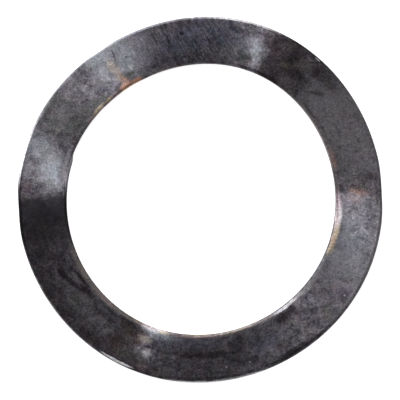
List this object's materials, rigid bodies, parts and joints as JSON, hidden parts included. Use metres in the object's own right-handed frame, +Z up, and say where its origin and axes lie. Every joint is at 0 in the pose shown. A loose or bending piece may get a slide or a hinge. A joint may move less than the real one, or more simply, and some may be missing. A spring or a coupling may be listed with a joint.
{
  "type": "wave washer",
  "caption": "Thin round spring washer with a wide plain hole, pressed into an even wave round its ring, with rounded edges and a dark heat-blackened finish.",
  "frame": {"origin": "on the hole's axis, at the level of the troughs that the washer rests on", "axes": "+Z up along the hole's axis; +X and +Y are arbitrary, with the first crest 64 degrees from +X towards +Y"},
  "size_m": [0.0344, 0.0344, 0.0032],
  "materials": {
    "spring_steel": "satin"
  },
  "bodies": {
    "root": {"wave_washer": "spring_steel"}
  },
  "joints": []
}
